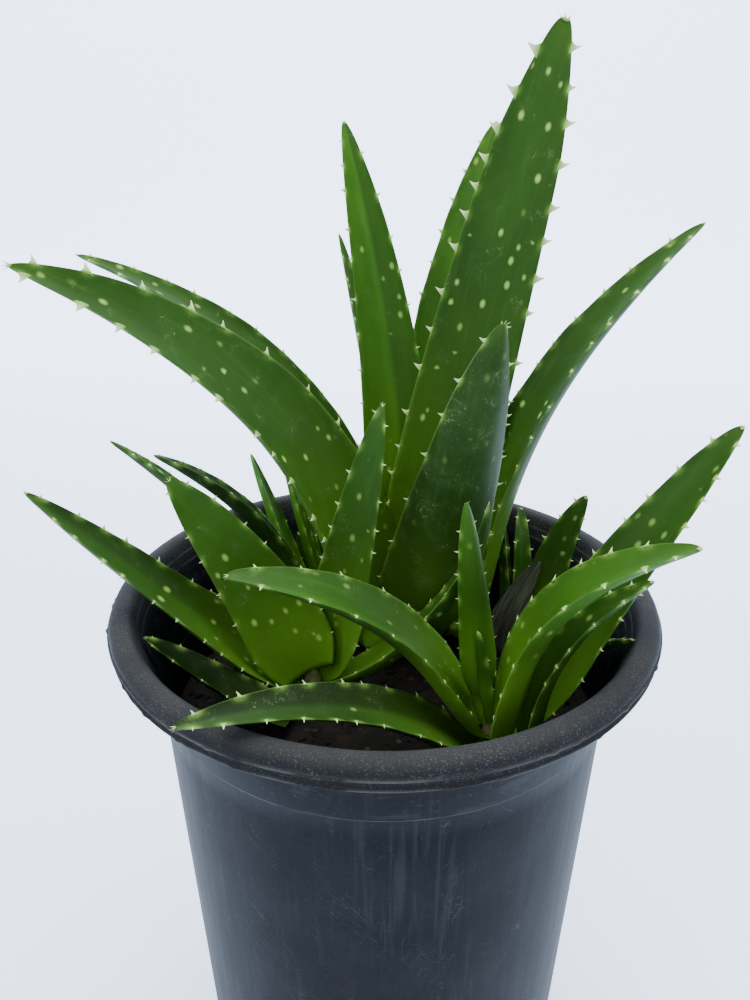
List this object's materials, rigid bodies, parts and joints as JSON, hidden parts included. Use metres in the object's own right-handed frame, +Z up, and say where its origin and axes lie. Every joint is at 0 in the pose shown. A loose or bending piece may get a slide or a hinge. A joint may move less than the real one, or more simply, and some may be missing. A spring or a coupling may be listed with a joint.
{
  "type": "potted aloe plant",
  "caption": "Potted aloe: a spreading rosette of thick toothed succulent leaves with young offsets round its foot, in a tapered nursery pot with a rolled rim.",
  "frame": {"origin": "centre of the pot's flat underside", "axes": "+Z up, -Y towards the side the plant is seen from, +X to that viewer's right"},
  "size_m": [0.1928, 0.1716, 0.3375],
  "materials": {
    "pot_plastic": "satin blow-moulded nursery pot plastic, dusty, scratched and brush streaked",
    "potting_mix": "dark crumbly potting mix of peat and fine bark",
    "stem_bark": "pale green-brown short stem, matt",
    "green_leaf": "waxy fleshy leaf, semi-matt, with pale spots and whitish marginal teeth",
    "dry_leaf": "dry grey-brown wrinkled leaf"
  },
  "bodies": {
    "root": {"front_pup_leaf_01": "green_leaf", "front_pup_leaf_02": "green_leaf", "front_pup_leaf_03": "green_leaf", "front_pup_leaf_04": "green_leaf", "front_pup_leaf_05": "green_leaf", "front_pup_leaf_06": "green_leaf", "front_pup_leaf_07": "green_leaf", "front_pup_leaf_08": "green_leaf", "front_pup_stem": "stem_bark", "left_pup_leaf_01": "green_leaf", "left_pup_leaf_02": "green_leaf", "left_pup_leaf_03": "green_leaf", "left_pup_leaf_04": "green_leaf", "left_pup_leaf_05": "green_leaf", "left_pup_leaf_06": "green_leaf", "left_pup_stem": "stem_bark", "mother_leaf_01": "green_leaf", "mother_leaf_02": "green_leaf", "mother_leaf_03": "green_leaf", "mother_leaf_04": "green_leaf", "mother_leaf_05": "green_leaf", "mother_leaf_06": "green_leaf", "mother_leaf_07": "green_leaf", "mother_leaf_08": "green_leaf", "mother_leaf_09": "green_leaf", "mother_leaf_10": "green_leaf", "mother_leaf_11": "green_leaf", "mother_stem": "stem_bark", "pot": "pot_plastic", "potting_mix": "potting_mix", "rear_pup_leaf_01": "green_leaf", "rear_pup_leaf_02": "green_leaf", "rear_pup_leaf_03": "green_leaf", "rear_pup_leaf_04": "green_leaf", "rear_pup_leaf_05": "green_leaf", "rear_pup_stem": "stem_bark", "right_pup_dry_leaf": "dry_leaf", "right_pup_leaf_01": "green_leaf", "right_pup_leaf_02": "green_leaf", "right_pup_leaf_03": "green_leaf", "right_pup_leaf_04": "green_leaf", "right_pup_stem": "stem_bark"}
  },
  "joints": []
}
